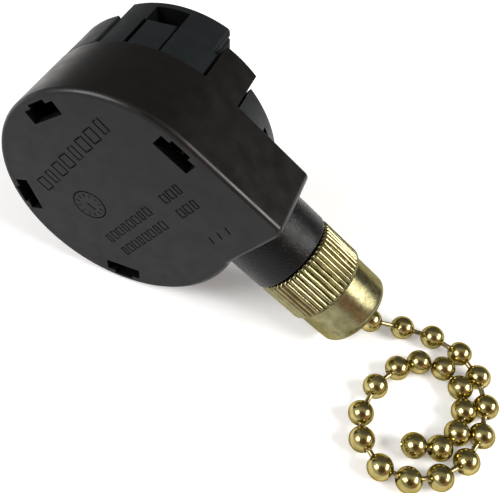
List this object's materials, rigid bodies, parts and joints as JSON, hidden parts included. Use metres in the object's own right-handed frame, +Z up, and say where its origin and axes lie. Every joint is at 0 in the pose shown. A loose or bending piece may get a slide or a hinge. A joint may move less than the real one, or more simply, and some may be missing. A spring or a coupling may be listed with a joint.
{
  "type": "pull cord switch",
  "caption": "Pull-chain rotary selector switch in a snail-shaped plastic case, with a threaded neck, knurled brass nut and ball chain.",
  "frame": {"origin": "where the drum axis meets the flat rating face of the case", "axes": "+Y along the drum axis from the rating face into the switch, +Z up as the switch lies on its round wall and the tip of its nut, the neck towards +X and down"},
  "size_m": [0.0769, 0.0382, 0.035],
  "materials": {
    "case_plastic": "satin moulded, brown-black",
    "cover_plastic": "satin moulded, blue-black",
    "nylon": "natural nylon",
    "brass": "plain",
    "nut_brass": "turned and lacquered",
    "chain_brass": "polished plate",
    "steel": "plain"
  },
  "bodies": {
    "case": {"rear_case": "case_plastic", "terminal_cover": "cover_plastic", "contact_carrier": "cover_plastic", "drum_axle": "steel", "drum_return_spring": "steel", "detent_ball": "steel", "detent_spring": "steel", "chain_guide": "brass", "terminal_line": "brass", "terminal_one": "brass", "terminal_two": "brass", "terminal_three": "brass", "wire_clamp_line": "steel", "wire_clamp_one": "steel", "wire_clamp_two": "steel", "wire_clamp_three": "steel"},
    "nut": {"knurled_nut": "nut_brass"},
    "drum": {"drive_drum": "nylon", "chain_drum_wrap": "brass", "chain_anchor": "brass"},
    "rotor": {"ratchet_rotor": "nylon", "rotor_contact": "brass", "rotor_spring": "steel"},
    "inner_chain": {"chain_inner_run": "brass"},
    "free_chain": {"pull_chain": "chain_brass"}
  },
  "joints": [
    {"name": "chain_pull", "type": "slide", "parent": "case", "child": "inner_chain", "axis": [0.8339, 0, -0.5519], "range_m": [0, 0.007], "stiffness_N_per_m": 400, "springref_m": -0.006},
    {"name": "drum_turn", "type": "hinge", "parent": "case", "child": "drum", "pos_m": [0, 0.0067, 0], "axis": [0, 1, 0], "range_deg": [0, 45.1]},
    {"name": "rotor_index", "type": "hinge", "parent": "case", "child": "rotor", "pos_m": [0, 0.0112, 0], "axis": [0, 1, 0], "range_deg": [0, 45.1]},
    {"name": "chain_draw", "type": "slide", "parent": "inner_chain", "child": "free_chain", "axis": [0.5519, 0, 0.8339], "range_m": [0, 0.00464]},
    {"name": "nut_turn", "type": "hinge", "parent": "case", "child": "nut", "pos_m": [0.02413, 0.0067, -0.0053], "axis": [0.8339, 0, -0.5519], "continuous": true}
  ],
  "couplings": [
    {"joint": "drum_turn", "follows": "chain_pull", "rad_per_m": 112.36},
    {"joint": "rotor_index", "follows": "chain_pull", "rad_per_m": 112.36},
    {"joint": "chain_draw", "follows": "chain_pull", "ratio": 0.66189}
  ]
}
